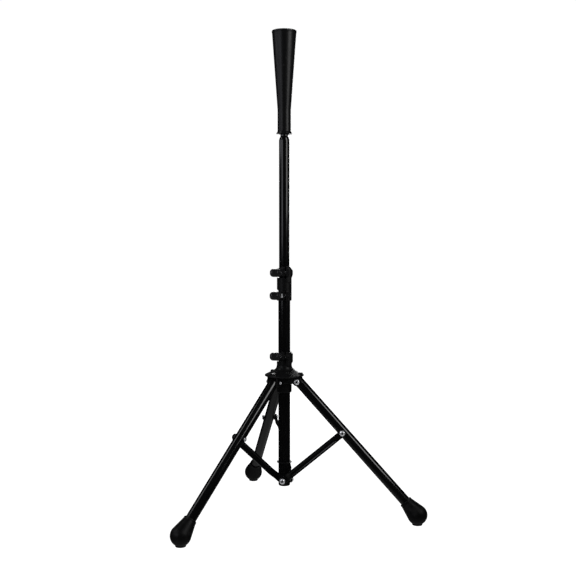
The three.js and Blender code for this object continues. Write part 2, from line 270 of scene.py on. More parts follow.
def add_boolean(target, solid, operation):
    """Gives an object a boolean modifier, and returns the object that it works with."""
    tool = scratch_object(solid)
    step = target.modifiers.new(operation, "BOOLEAN")
    step.operation = operation
    step.solver = "MANIFOLD"
    step.object = tool
    return tool


def taken(target, tools):
    """The mesh that an object's modifiers make; the object and its tools are removed."""
    graph = bpy.context.evaluated_depsgraph_get()
    mesh = bpy.data.meshes.new_from_object(target.evaluated_get(graph))
    for thing in [target, *tools]:
        used = thing.data
        bpy.data.objects.remove(thing)
        bpy.data.meshes.remove(used)
    return mesh


def combined(first, second, operation):
    """A solid from two others, its edges left sharp."""
    target = scratch_object(first)
    mesh = taken(target, [add_boolean(target, second, operation)])
    solid = bmesh.new()
    solid.from_mesh(mesh)
    bpy.data.meshes.remove(mesh)
    return solid


def carved(base, cut):
    return combined(base, cut, "DIFFERENCE")


def shared(first, second):
    return combined(first, second, "INTERSECT")


def moulded(base, joined, cut, voxel, rounds):
    """One moulded solid: others joined to the base, others cut out, and every edge softened."""
    target = scratch_object(base)
    tools = [add_boolean(target, solid, "UNION") for solid in joined]
    tools += [add_boolean(target, solid, "DIFFERENCE") for solid in cut]
    skin = target.modifiers.new("skin", "REMESH")
    skin.mode = "VOXEL"
    skin.voxel_size = voxel
    soft = target.modifiers.new("soft", "SMOOTH")
    soft.factor = 0.5
    soft.iterations = rounds
    mesh = taken(target, tools)
    mesh.transform(Matrix.Scale(MM, 4))
    mesh.shade_smooth()
    return mesh


def hexagon(flats):
    """A function that gives the radius of a hexagon, this wide across its flats, at an angle."""
    def reach(angle):
        return flats / 2 / math.cos((angle + math.pi / 6) % (math.pi / 3) - math.pi / 6)
    return reach


def smooth_step(value):
    value = min(max(value, 0.0), 1.0)
    return value * value * (3 - 2 * value)


# ---------------------------------------------------------------- materials


def shader(name, roughness, metallic=0.0, specular=0.5):
    """A material, its node tree, its shader and a socket with the object's own coordinates."""
    material = bpy.data.materials.new(name)
    material.use_nodes = True
    tree = material.node_tree
    surface = tree.nodes["Principled BSDF"]
    surface.inputs["Roughness"].default_value = roughness
    surface.inputs["Metallic"].default_value = metallic
    surface.inputs["Specular IOR Level"].default_value = specular
    spot = tree.nodes.new("ShaderNodeTexCoord").outputs["Object"]
    return material, tree, surface, spot


def noise(tree, spot, scale, detail=4.0, stretch=(1, 1, 1)):
    """Noise with about scale features to the metre, drawn out where stretch is small."""
    mapping = tree.nodes.new("ShaderNodeMapping")
    mapping.inputs["Scale"].default_value = stretch
    tree.links.new(spot, mapping.inputs["Vector"])
    texture = tree.nodes.new("ShaderNodeTexNoise")
    texture.inputs["Scale"].default_value = scale
    texture.inputs["Detail"].default_value = detail
    tree.links.new(mapping.outputs["Vector"], texture.inputs["Vector"])
    return texture.outputs["Fac"]


def grains(tree, spot, scale):
    """Round pebbles, as in a moulded texture."""
    texture = tree.nodes.new("ShaderNodeTexVoronoi")
    texture.inputs["Scale"].default_value = scale
    tree.links.new(spot, texture.inputs["Vector"])
    return texture.outputs["Distance"]


def remap(tree, value, from_low, from_high, low, high):
    node = tree.nodes.new("ShaderNodeMapRange")
    for name, number in (
        ("From Min", from_low), ("From Max", from_high), ("To Min", low), ("To Max", high),
    ):
        node.inputs[name].default_value = number
    tree.links.new(value, node.inputs["Value"])
    return node.outputs["Result"]


def combine(tree, operation, first, second):
    node = tree.nodes.new("ShaderNodeMath")
    node.operation = operation
    node.use_clamp = True
    tree.links.new(first, node.inputs[0])
    tree.links.new(second, node.inputs[1])
    return node.outputs["Value"]


def tint(tree, surface, factor, dark, light):
    node = tree.nodes.new("ShaderNodeMix")
    node.data_type = "RGBA"
    tree.links.new(factor, node.inputs["Factor"])
    colours = [socket for socket in node.inputs if socket.type == "RGBA"]
    for socket, colour in zip(colours, (dark, light)):
        socket.default_value = (*colour, 1)
    result = next(socket for socket in node.outputs if socket.type == "RGBA")
    tree.links.new(result, surface.inputs["Base Color"])


def bump(tree, surface, layers):
    """Bumps from (height, distance in metres, strength), one on the other."""
    normal = None
    for height, distance, strength in layers:
        node = tree.nodes.new("ShaderNodeBump")
        node.inputs["Distance"].default_value = distance
        node.inputs["Strength"].default_value = strength
        tree.links.new(height, node.inputs["Height"])
        if normal:
            tree.links.new(normal, node.inputs["Normal"])
        normal = node.outputs["Normal"]
    tree.links.new(normal, surface.inputs["Normal"])


def worn_edges(tree, low, high):
    """0 on a face and 1 on a worn outer edge."""
    geometry = tree.nodes.new("ShaderNodeNewGeometry")
    return remap(tree, geometry.outputs["Pointiness"], low, high, 0, 1)


def gloss_paint():
    """Powder coat: orange peel, rub marks along the tube, a little dust."""
    material, tree, surface, spot = shader("black_paint", 0.16, specular=0.25)
    peel = noise(tree, spot, 620, 2)
    rubs = noise(tree, spot, 2600, 3, (1, 1, 0.012))
    clouds = noise(tree, spot, 26, 5)
    marks = remap(tree, rubs, 0.62, 0.8, 0, 1)
    dust = combine(tree, "MULTIPLY", marks, remap(tree, clouds, 0.45, 0.7, 0, 1))
    tint(tree, surface, dust, (0.0012, 0.0012, 0.0013), (0.02, 0.02, 0.021))
    clean_rough = remap(tree, clouds, 0.3, 0.7, 0.1, 0.19)
    rough = combine(tree, "ADD", clean_rough, remap(tree, dust, 0, 1, 0, 0.2))
    tree.links.new(rough, surface.inputs["Roughness"])
    surface.inputs["Coat Weight"].default_value = 0.15
    surface.inputs["Coat Roughness"].default_value = 0.06
    bump(tree, surface, [(peel, 0.00003, 0.22), (rubs, 0.00001, 0.15)])
    return material


def grained_plastic():
    """Satin moulded plastic with a fine spark texture and edges rubbed shiny."""
    material, tree, surface, spot = shader("black_plastic", 0.42, specular=0.14)
    pebbles = grains(tree, spot, 1500)
    clouds = noise(tree, spot, 55, 5)
    edges = worn_edges(tree, 0.52, 0.6)
    tint(tree, surface, edges, (0.002, 0.002, 0.0022), (0.012, 0.012, 0.0125))
    face_rough = remap(tree, clouds, 0.3, 0.7, 0.34, 0.5)
    rough = combine(tree, "SUBTRACT", face_rough, remap(tree, edges, 0, 1, 0, 0.12))
    tree.links.new(rough, surface.inputs["Roughness"])
    bump(tree, surface, [(clouds, 0.00025, 0.12), (pebbles, 0.00005, 0.3)])
    return material


def knob_plastic():
    """Harder and shinier plastic, handled smooth."""
    material, tree, surface, spot = shader("knob_plastic", 0.3, specular=0.3)
    grain = noise(tree, spot, 1900, 3)
    clouds = noise(tree, spot, 120, 4)
    tint(tree, surface, clouds, (0.002, 0.002, 0.0022), (0.006, 0.006, 0.0065))
    tree.links.new(remap(tree, clouds, 0.3, 0.7, 0.22, 0.36), surface.inputs["Roughness"])
    bump(tree, surface, [(grain, 0.00003, 0.2)])
    return material


def cone_rubber():
    """Matte rubber: fine skin, long faint draw lines, pale scuffs where balls leave."""
    material, tree, surface, spot = shader("cone_rubber", 0.35, specular=0.165)
    skin = noise(tree, spot, 2400, 4)
    draw = noise(tree, spot, 420, 4, (1, 1, 0.03))
    clouds = noise(tree, spot, 30, 6)
    scuffs = remap(tree, noise(tree, spot, 140, 8, (1, 1, 0.5)), 0.6, 0.78, 0, 1)
    pale = combine(tree, "MULTIPLY", scuffs, remap(tree, clouds, 0.42, 0.7, 0, 1))
    tint(tree, surface, pale, (0.0018, 0.0018, 0.002), (0.016, 0.016, 0.017))
    clean_rough = remap(tree, draw, 0.3, 0.7, 0.3, 0.38)
    rough = combine(tree, "ADD", clean_rough, remap(tree, pale, 0, 1, 0, 0.2))
    tree.links.new(rough, surface.inputs["Roughness"])
    bump(tree, surface, [(draw, 0.00012, 0.3), (skin, 0.00004, 0.35)])
    return material


def foot_rubber():
    """Softer, duller rubber with ground dust in its skin."""
    material, tree, surface, spot = shader("foot_rubber", 0.5, specular=0.14)
    skin = noise(tree, spot, 1700, 5)
    clouds = noise(tree, spot, 75, 6)
    dust = remap(tree, clouds, 0.52, 0.75, 0, 1)
    tint(tree, surface, dust, (0.0012, 0.0012, 0.0013), (0.004, 0.004, 0.004))
    tree.links.new(remap(tree, clouds, 0.3, 0.7, 0.36, 0.56), surface.inputs["Roughness"])
    bump(tree, surface, [(clouds, 0.0003, 0.1), (skin, 0.00005, 0.35)])
    return material


def plain_nylon():
    """Black nylon with faint flow lines, for the pieces inside."""
    material, tree, surface, spot = shader("nylon", 0.5, specular=0.3)
    flow = noise(tree, spot, 300, 4, (1, 1, 0.3))
    skin = noise(tree, spot, 2200, 3)
    tint(tree, surface, flow, (0.003, 0.003, 0.003), (0.008, 0.008, 0.008))
    tree.links.new(remap(tree, flow, 0.3, 0.7, 0.42, 0.58), surface.inputs["Roughness"])
    bump(tree, surface, [(skin, 0.00004, 0.3)])
    return material


def socket_shade_mask(tree, spot):
    """0 in the hexagon socket of a head that is seated at z = 0, where shade is painted in the recess,
    and 1 outside it.
    """
    parts = tree.nodes.new("ShaderNodeSeparateXYZ")
    tree.links.new(spot, parts.inputs["Vector"])
    flat = tree.nodes.new("ShaderNodeVectorMath")
    flat.operation = "MULTIPLY"
    flat.inputs[1].default_value = (1, 1, 0)
    tree.links.new(spot, flat.inputs[0])
    reach = tree.nodes.new("ShaderNodeVectorMath")
    reach.operation = "LENGTH"
    tree.links.new(flat.outputs["Vector"], reach.inputs[0])
    corner = HEAD["corner"] * MM
    top = HEAD["thick"] * MM
    near_axis = remap(tree, reach.outputs["Value"], corner, corner + 0.0002, 1, 0)
    above_seat = remap(tree, parts.outputs["Z"], 0, 0.0004, 0, 1)
    below_mouth = remap(tree, parts.outputs["Z"], top - 0.0006, top - 0.0001, 1, 0)
    in_head = combine(tree, "MULTIPLY", above_seat, below_mouth)
    in_socket = combine(tree, "MULTIPLY", near_axis, in_head)
    return remap(tree, in_socket, 0, 1, 1, 0)


def bright_zinc():
    """Zinc plate: cool and bright, with a fine crystal mottle, turned lines and painted shade in the
    socket.
    """
    material, tree, surface, spot = shader("zinc", 0.24, metallic=0.8)
    mottle = noise(tree, spot, 900, 5)
    lines = noise(tree, spot, 3200, 2, (1, 1, 0.2))
    sparkle = remap(tree, mottle, 0.3, 0.7, 0.75, 1)
    # The hexagon socket gets the near-black colour: painted shade in the recess.
    mottle_and_socket_shade = combine(tree, "MULTIPLY", sparkle, socket_shade_mask(tree, spot))
    tint(tree, surface, mottle_and_socket_shade, (0.008, 0.008, 0.008), (0.93, 0.94, 0.97))
    tree.links.new(remap(tree, mottle, 0.3, 0.7, 0.16, 0.32), surface.inputs["Roughness"])
    bump(tree, surface, [(lines, 0.00002, 0.3), (mottle, 0.00003, 0.2)])
    return material


def black_zinc():
    """Black plating on steel: dark, with a satin metal glint and fine turned lines."""
    material, tree, surface, spot = shader("black_zinc", 0.38, metallic=1.0)
    mottle = noise(tree, spot, 1100, 5)
    lines = noise(tree, spot, 3000, 2, (1, 1, 0.2))
    tint(tree, surface, mottle, (0.012, 0.012, 0.014), (0.03, 0.03, 0.033))
    tree.links.new(remap(tree, mottle, 0.3, 0.7, 0.3, 0.46), surface.inputs["Roughness"])
    bump(tree, surface, [(lines, 0.00002, 0.3)])
    return material


FINISHES = {
    "black_paint": gloss_paint(),
    "black_plastic": grained_plastic(),
    "knob_plastic": knob_plastic(),
    "cone_rubber": cone_rubber(),
    "foot_rubber": foot_rubber(),
    "nylon": plain_nylon(),
    "zinc": bright_zinc(),
    "black_zinc": black_zinc(),
}


def place(node, mesh, where, finish, body):
    """Puts a fine mesh in place of its CAD node."""
    piece = add_object(f"{node}_fine", mesh)
    piece.matrix_world = where
    mesh.materials.clear()
    mesh.materials.append(FINISHES[finish])
    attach(piece, body)
    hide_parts(node)


# ---------------------------------------------------------------- column pieces


def heights(node, origin=0.0):
    """A node's lowest and highest level, in millimetres above an origin given in metres."""
    low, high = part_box(node)
    return (low.z - origin) / MM, (high.z - origin) / MM


def main_tube():
    low, high = heights("main_tube")
    return to_mesh(tube(MAIN_RADIUS - MAIN_WALL, MAIN_RADIUS, low, high))


def column_end_plug():
    """A cap under the main tube with a shallow dish, and a stem in the tube."""
    low, high = heights("column_end_plug")
    cap = heights("main_tube")[0] - GAP
    stem = MAIN_RADIUS - MAIN_WALL - GAP
    dish = 8
    outline = rounded([
        (0, low + 0.8), (dish - 0.6, low + 0.8, 0.3), (dish, low, 0.3), (MAIN_RADIUS - 0.4, low, 2.4),
        (MAIN_RADIUS, cap, 0.3), (stem, cap), (stem, high, 0.6), (0, high),
    ])
    return to_mesh(lathe(outline))


def stop_ring():
    low, high = heights("stop_ring")
    inner = MAIN_RADIUS + GAP
    outer = 16.2
    outline = rounded([
        (inner, low, 0.2), (inner + 1.4, low, 0.3), (inner + 2, low + 0.7, 0.5),
        (outer, low + 0.9, 0.5), (outer, high - 0.4, 0.5), (inner + 1.6, high, 0.6), (inner, high, 0.2),
    ])
    return to_mesh(lathe(outline, closed=True))


def upper_tube():
    """A swaged tube: the full bore, a rolled shoulder and the neck inside the cone."""
    low, high = heights("upper_tube")
    shoulder = heights("ball_cone")[0] - 12
    bore = UPPER_RADIUS - UPPER_WALL
    neck = 8.0
    neck_bore = neck - UPPER_WALL
    outline = rounded([
        (UPPER_RADIUS, low, 0.3), (UPPER_RADIUS, shoulder, 4), (UPPER_RADIUS - 1.5, shoulder + 4.6, 3),
        (neck, shoulder + 8, 3), (neck, high, 0.3), (neck_bore, high, 0.3),
        (neck_bore, shoulder + 6, 2), (bore, shoulder - 2, 3), (bore, low, 0.3),
    ], steps=7)
    return to_mesh(lathe(outline, closed=True))


def guide_plug():
    """A ring that slides in the main tube, with a stem in the end of the upper tube."""
    low, high = heights("upper_tube_guide_plug")
    stem = UPPER_RADIUS - UPPER_WALL - GAP
    guide = 11.3
    seat = low + 6
    bore = 6
    outline = rounded([
        (bore, low, 0.4), (guide, low, 0.6), (guide, seat, 0.2), (stem, seat),
        (stem, high, 0.6), (bore, high, 0.4),
    ])
    return to_mesh(lathe(outline, closed=True))


def ball_cone():
    """A flared foot, a straight sleeve, the long taper and a beaded rim round a deep cup."""
    low, high = heights("ball_cone")
    sleeve_top = low + 51
    socket = 8.25
    foot = 16.75
    sleeve = 14.1
    rim = 26.2
    outline = rounded([
        (socket, low + 1.2, 0.5), (10.5, low + 1.2, 0.6), (11.5, low + 0.4, 0.8), (16.2, low, 0.5),
        (foot, low + 1.4, 0.7), (sleeve, low + 6.5, 4.5), (sleeve, sleeve_top, 34),
        (25.55, high - 6.4, 1.2), (26.15, high - 3.6, 1.4), (rim, high - 0.6, 1.4),
        (24.4, high, 1.3), (22.2, high - 2.4, 1.2), (socket + 2.2, sleeve_top + 3, 5),
        (socket, sleeve_top - 4, 2),
    ], steps=9)
    return to_mesh(lathe(outline, 128, closed=True), sharp=60)


# ---------------------------------------------------------------- clamps

EAR = {"right": 9.5, "radius": 8.0, "middle": 2.5, "slit": 1.2}
BOSS = {"hub": -5.6, "upper": -5.6, "lower": -1.6}  # where an ear ends towards its knob
NUT = {"flats": 9.5, "thick": 4.5, "pocket": 5.4}
KNOB = {"radius": 8.8, "neck": 7.4, "root": -6.6, "length": 23.8, "flutes": 9, "grip": 7.2}
COLLAR = {"radius": 15.7, "height": 49.3}
BAND = {"collar": 16.4, "hub": 16.5, "offset": 2.0}  # round drums, set off towards the far side
WIDE = 30  # far enough out of a clamp for anything that cuts it


def clamp_ears(name):
    """The ears of a split clamp, on the -Y side, at the height of the screw."""
    left, right, radius = BOSS[name], EAR["right"], EAR["radius"]
    lug = moved(rod(radius, left, right), TO_X, shift(y=-CLAMP_AXIS))
    web = block(left, right, -CLAMP_AXIS, -9, -radius, radius)
    return [lug, web]


def clamp_cuts(name, slit_low, slit_high):
    """The slit between a clamp's ears, the hole for its screw and the pocket for its nut."""
    left = EAR["middle"] - EAR["slit"]
    right = EAR["middle"] + EAR["slit"]
    end = EAR["right"] + 1
    slit = block(left, right, -CLAMP_AXIS - 12, -6, slit_low, slit_high)
    screw_hole = moved(rod(BOLT_HOLE, BOSS[name] - 1, end), TO_X, shift(y=-CLAMP_AXIS))
    pocket = moved(hex_post(NUT["flats"] + 1, NUT["pocket"], end), TO_X, shift(y=-CLAMP_AXIS))
    return [slit, screw_hole, pocket]


def hex_post(flats, low, high):
    reach = hexagon(flats)
    outline = [(0, low), (1, low), (1, high), (0, high)]
    return lathe(outline, 48, warp=lambda radius, height, angle: reach(angle))


def tube_collar():
    """One moulding with a clamp on each tube, drawn from its own lower end."""
    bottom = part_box("tube_collar")[0].z
    upper_rise = (joint_place("upper_knob_turn").z - bottom) / MM
    lower_rise = (joint_place("lower_knob_turn").z - bottom) / MM
    step = heights("main_tube", bottom)[1] + GAP
    radius = COLLAR["radius"]
    height = COLLAR["height"]
    inside = 9
    sleeve = lathe(rounded([
        (inside, 0), (radius, 0, 1.4), (radius, height, 1.2), (inside, height),
    ]), 128, closed=True)
    upper = [shift(z=upper_rise), spin(clamp_turn("upper"))]
    lower = [shift(z=lower_rise), spin(clamp_turn("lower"))]
    band = collar_band()
    notch = slab([(-WIDE, 6.5), (-11, 6.5), (-11, 8.5), (-15.5, 12.5), (-WIDE, 12.5)], -WIDE, WIDE)
    joined = [moved(solid, *upper) for solid in [*clamp_ears("upper"), band]]
    joined += [moved(solid, *lower) for solid in clamp_ears("lower")]
    cut = [
        rod(MAIN_RADIUS + GAP, -1, step, 96),
        rod(UPPER_RADIUS + GAP, step - 1, 110, 96),
        *[moved(solid, *upper) for solid in clamp_cuts("upper", -13.1, 35)],
        *[moved(solid, *lower) for solid in clamp_cuts("lower", -12, 10.5)],
    ]
    return moulded(carved(sleeve, moved(notch, *lower)), joined, cut, voxel=0.42, rounds=7)


def collar_band():
    """The upper clamp's band: low in front, and bulging opposite the knob."""
    outline = rounded([
        (-WIDE, -7.4), (-4, -7.4, 4), (3, -20.6, 4), (15, -20.6, 3), (15.6, -12.1, 3),
        (18.6, -3.6, 4), (18.6, 3.4, 5), (12, 12.9, 4), (4, 13.9, 3), (-WIDE, 4.4),
    ])
    drum = moved(rod(BAND["collar"], -25, 20, 96), shift(x=BAND["offset"]))
    return shared(drum, slab(outline, -WIDE, WIDE))


def hub_band():
    """The hub clamp's band: it slopes up from the knob and runs down the neck on the far side."""
    outline = rounded([
        (-WIDE, -11.1), (-11, -11.1, 4), (1, -16.1, 4), (9, -23.1, 3), (15.5, -23.1, 1),
        (16.4, -16.6, 2), (18.6, -13.6, 2), (18.6, 3.0, 3), (12.4, 8.8, 3), (-12, 2.4, 4),
        (-WIDE, 2.4),
    ])
    drum = moved(rod(BAND["hub"], -32, 21, 96), shift(x=BAND["offset"] + 0.1))
    return shared(drum, slab(outline, -WIDE, WIDE))


def flute_depth(u, length):
    """How deep the knob's flutes are at u along it."""
    return 0.75 * smooth_step((u - KNOB["grip"]) / 2) * smooth_step((length - 2.2 - u) / 3)


def clamp_knob():
    """A fluted barrel with a necked root and a rounded tip, drawn up along Z from its root."""
    length = KNOB["length"]
    radius = KNOB["radius"]
    barrel = [(radius, KNOB["grip"] + 0.6 * i) for i in range(15)]
    outline = rounded([
        (0, 0), (KNOB["neck"], 0, 0.5), (KNOB["neck"], 1.6, 0.3), (radius - 0.1, 2.6, 0.6),
        (radius - 0.1, KNOB["grip"] - 0.9, 0.3), (radius - 0.5, KNOB["grip"] - 0.5, 0.2),
        (radius, KNOB["grip"] - 0.1, 0.2),
    ]) + barrel + rounded([
        (radius, length - 8), (radius * 0.96, length - 5, 2.4), (radius * 0.8, length - 2.6, 1.8),
        (radius * 0.5, length - 0.4, 1.6), (2.2, length, 0.3), (0, length - 0.3),
    ])

    def flutes(reach, height, angle):
        wave = 0.5 - 0.5 * math.cos(KNOB["flutes"] * angle)
        share = reach / radius
        ring = 0.35 * math.exp(-((height - length + 6.3) / 0.5) ** 2)
        return reach - (flute_depth(height, length) * (1 - wave) ** 2 + ring) * share

    return to_mesh(lathe(outline, 144, warp=flutes), sharp=50)


def turns(start, length):
    """The rings of a mesh that is to be threaded from start."""
    step = THREAD["step"]
    return [(BOLT_RADIUS, start + step * i) for i in range(int(length / step))]


def thread(start, end):
    """A warp that cuts a screw thread between two heights."""
    def cut(reach, height, angle):
        if not start < height < end or reach < BOLT_RADIUS - 0.01:
            return reach
        phase = (height / THREAD["pitch"] + angle / TURN) % 1.0
        return reach - THREAD["depth"] * abs(2 * phase - 1)
    return cut


def clamp_screw(boss):
    """Tail in the knob, a collar that bears on the ear, and a shank to the nut, up along Z."""
    start = KNOB["root"] + GAP
    seat = boss - GAP
    end = EAR["right"] - 0.5
    tail = start - 11
    bearing = 4.4
    outline = rounded([
        (0, tail), (BOLT_RADIUS, tail, 0.4), (BOLT_RADIUS, start, 0.1), (bearing, start, 0.5),
        (bearing, seat, 0.5), (BOLT_RADIUS, seat),
    ])
    outline += turns(seat + 0.2, end - seat - 0.6)
    outline += rounded([(BOLT_RADIUS, end - 0.3), (BOLT_RADIUS - 0.5, end), (0, end)])
    return to_mesh(lathe(outline, 48, warp=thread(seat + 1, end - 0.4)))


def hex_nut():
    """A chamfered nut up along Z from its seat."""
    reach = hexagon(NUT["flats"])
    thick = NUT["thick"]
    bore = BOLT_RADIUS + GAP
    levels = [0, 0.15, 0.3, 0.5, 0.8, 1.3, 2.2, 3.2, 3.7, 4.0, 4.2, 4.35, thick]
    outline = [(bore, 0.3), (bore + 0.4, 0)] + [(NUT["flats"], level) for level in levels]
    outline += [(bore + 0.4, thick), (bore, thick - 0.3)]

    def chamfered(radius, height, angle):
        if radius < NUT["flats"]:
            return radius
        room = min(height, thick - height)
        return min(reach(angle), NUT["flats"] / 2 - 0.1 + room * 1.8)

    return to_mesh(lathe(outline, 96, closed=True, warp=chamfered), sharp=25)


# ---------------------------------------------------------------- socket screws


def socket_screw(length):
    """A button head with a hexagon socket, seated at z = 0, with its shank down to -length."""
    radius, thick = HEAD["radius"], HEAD["thick"]
    floor = thick - HEAD["depth"]
    flats = HEAD["corner"] * 1.732
    mouth = 0.6 * flats
    reach = hexagon(flats)
    start = -length + 0.6
    threaded = min(length - 1.2, 9)
    outline = rounded([(0, -length), (BOLT_RADIUS - 0.5, -length), (BOLT_RADIUS, -length + 0.5)])
    outline += turns(start, threaded) + rounded([
        (BOLT_RADIUS, -0.3), (BOLT_RADIUS + 0.2, 0), (radius - 0.3, 0, 0.3), (radius, 0.5, 0.3),
        (radius, 1.1, 0.8), (radius * 0.8, thick - 0.5, 2.5), (mouth + 0.7, thick, 0.6),
        (mouth, thick, 0.15),
    ])
    sides = [(1.0, thick - 0.35), (1.01, floor + 0.2), (1.02, floor)]  # warp gives the true radius
    outline += sides + [(0.4, floor - 0.2), (0, floor - 0.35)]
    threads = thread(start, -length + threaded)

    def warp(distance, height, angle):
        if height > floor - 0.01 and 0.99 < distance < 1.03:
            return reach(angle)
        return threads(distance, height, angle)

    return to_mesh(lathe(outline, 96, warp=warp), sharp=30)


# ---------------------------------------------------------------- hub

FLANGE = {"radius": 42, "low": 10.6, "high": 13.2}  # heights are from the leg pivots
HUB_REACH = 39.3  # how far out the cheeks of the forks go


def fork_space():
    """The space that a leg needs in its fork, from the pivot, from spread to closed."""
    steps = 24
    arc = []
    for i in range(steps + 1):
        angle = math.pi * i / steps
        arc.append((LEG_END_SWEEP * math.cos(angle), LEG_END_SWEEP * math.sin(angle)))
    outline = [(-LEG_END_SWEEP, -40), (40, -40), (40, 0), *arc]
    return moved(slab(outline, -FORK_GAP, FORK_GAP), shift(x=PIVOT_RADIUS))


def fork_cheeks():
    """The solid stock of a fork, before the leg's space is cut from it."""
    cheeks = [
        block(0, 42, -CHEEK, CHEEK, -4.5, 11.9),
        block(0, 28, -CHEEK, CHEEK, 7, 15.5),
        moved(rod(9.5, -CHEEK, CHEEK), TO_Y, shift(x=PIVOT_RADIUS)),
    ]
    return [shared(solid, rod(HUB_REACH, -23, 17, 96)) for solid in cheeks]


def leg_cover():
    """The rounded hood over a leg's end, on the hub's flange."""
    hood = moved(rod(11.5, 14, 39.5, 48), TO_X, shift(z=7.5))
    return shared(hood, block(10, 60, -20, 20, FLANGE["low"] - 0.2, 40))


def flange_boss():
    """A low dome on the flange between two legs."""
    dome = lathe([(0, 14), (4.6, 14), (4.6, 21), (3.9, 22.3), (2.2, 23.2), (0, 23.5)], 32)
    return moved(dome, shift(x=26))


def tripod_hub():
    """The spider that slides on the main tube, drawn from the height of the leg pivots."""
    bore = MAIN_RADIUS + GAP
    rise = (joint_place("hub_knob_turn").z - PIVOT.z) / MM
    edge = FLANGE["radius"]
    low = FLANGE["low"]
    high = FLANGE["high"]
    skirt = 16
    neck = 16.1
    body = lathe(rounded([
        (bore, -25), (15, -25, 0.4), (skirt, -23.4, 0.5), (skirt, -4.5), (19, -4.5), (19, 15.5),
        (24, 15.5), (37.4, low, 1.5), (edge, low, 0.8), (edge, high, 1.1), (29, 19.4, 6),
        (20, 24.4, 4), (17, 28.6, 3), (neck, 33, 2), (neck, 42), (bore, 42),
    ], steps=8), 160, closed=True)
    clamp = [shift(z=rise), spin(clamp_turn("hub"))]
    joined = [moved(solid, *clamp) for solid in [*clamp_ears("hub"), hub_band()]]
    cut = []
    legs = len(LETTERS)
    for i in range(legs):
        heading = spin(TURN * i / legs)
        joined += [moved(solid, heading) for solid in [*fork_cheeks(), leg_cover()]]
        joined.append(moved(flange_boss(), spin(TURN * (i + 0.5) / legs)))
        bolt_hole = moved(rod(BOLT_HOLE, -20, 20), TO_Y, shift(x=PIVOT_RADIUS))
        cut += [moved(solid, heading) for solid in (fork_space(), bolt_hole)]
    cut.append(rod(bore, -35, 80, 96))
    cut += [moved(solid, *clamp) for solid in clamp_cuts("hub", -16.6, 22.4)]
    return moulded(body, joined, cut, voxel=0.55, rounds=6)


# ---------------------------------------------------------------- legs and braces

FOOT = {"bulb": 21.1, "sleeve": 13.8, "sleeve_top": 37.0, "pad": 10.5, "tube_end": 9}
STRIP = {"half": 7.5, "inner": 13.3, "thick": 2.8, "flat": 14.0, "bend": 10.0}
BOW = {"rise": 3.2, "thick": 4.0}  # of a brace's middle
CHANNEL = {"depth": 0.7, "edge": 3.2, "end": 15}  # pressed along the middle of a brace


def leg_tube():
    return to_mesh(tube(LEG_RADIUS - LEG_WALL, LEG_RADIUS, FOOT["tube_end"] - LEG_LENGTH, LEG_TOP))


def leg_end_plug():
    stem = LEG_RADIUS - LEG_WALL - GAP
    seat = LEG_TOP + GAP
    low = -14
    high = seat + 2
    outline = rounded([
        (0, low), (stem, low, 0.6), (stem, seat), (LEG_RADIUS, seat, 0.2),
        (LEG_RADIUS, seat + 0.8, 0.6), (LEG_RADIUS - 1.4, high, 0.8), (0, high),
    ])
    return to_mesh(lathe(outline))


def rubber_foot():
    """A lipped sleeve that runs into a round bulb, with a level pad, from the bulb's centre."""
    bulb = FOOT["bulb"]
    sleeve = FOOT["sleeve"]
    sleeve_top = FOOT["sleeve_top"]
    pad = FOOT["pad"]
    bore = LEG_RADIUS + GAP
    bore_end = FOOT["tube_end"] - GAP
    tangent = math.atan2(sleeve_top, sleeve) - math.acos(bulb / math.hypot(sleeve, sleeve_top))
    steps = 28
    arc = []
    for i in range(1, steps + 1):
        angle = -math.pi / 2 + (tangent + math.pi / 2) * i / steps
        arc.append((bulb * math.cos(angle), bulb * math.sin(angle)))
    body = lathe([(0, -bulb), *arc] + rounded([
        (sleeve + 0.1, sleeve_top - 3.4, 2), (sleeve - 0.2, sleeve_top, 1.3),
        (bore, sleeve_top, 0.4), (bore, bore_end), (0, bore_end),
    ]), 128)
    level_pad = lathe(rounded([
        (0, -FOOT_HEIGHT), (pad, -FOOT_HEIGHT, 0.5), (pad + 0.4, -FOOT_HEIGHT + 1.4, 0.5),
        (pad - 1, -10), (0, -10),
    ]), 96)
    return moulded(body, [moved(level_pad, spin(LEG_TILT, "Y"))], [], voxel=0.5, rounds=4)


def saddle_spacer():
    """A washer along -Y, hollowed to sit on the round leg."""
    bore = BOLT_RADIUS + GAP
    outer = 6.5
    start = 8.4
    end = STRIP["inner"] - GAP
    outline = rounded([(bore, start), (outer, start), (outer, end, 0.5), (bore, end, 0.3)])
    solid = moved(lathe(outline, 64, closed=True), TO_MINUS_Y)
    saddle = LEG_RADIUS + GAP
    for vertex in solid.verts:
        if vertex.co.y > -start - 0.1:
            vertex.co.y = -math.sqrt(saddle ** 2 - vertex.co.x ** 2)
    return to_mesh(solid)


def bowed(s):
    """0 on the flat ends of a brace and 1 along its bowed middle."""
    near = min(s, BRACE_LENGTH - s)
    return smooth_step((near - STRIP["flat"] + 2) / (STRIP["bend"] + 4))


def strip_outline(inset, straights=56, quarters=22):
    """Points (along, across) around a brace, set in from its edge."""
    radius = STRIP["half"] - inset
    points = []
    for end, start in ((BRACE_LENGTH, -math.pi / 2), (0.0, math.pi / 2)):
        for i in range(quarters + 1):
            angle = start + math.pi * i / quarters
            points.append((end + radius * math.cos(angle), radius * math.sin(angle)))
        side = radius if end else -radius
        for i in range(1, straights):
            share = i / straights
            along = BRACE_LENGTH * (1 - share if end else share)
            points.append((along, side))
    return points


def groove(inset, s):
    """Depth of the pressed channel along the middle of a brace's faces."""
    across = smooth_step((inset - CHANNEL["edge"]) / 1.8)
    near = min(s, BRACE_LENGTH - s)
    return CHANNEL["depth"] * across * smooth_step((near - CHANNEL["end"]) / 7)


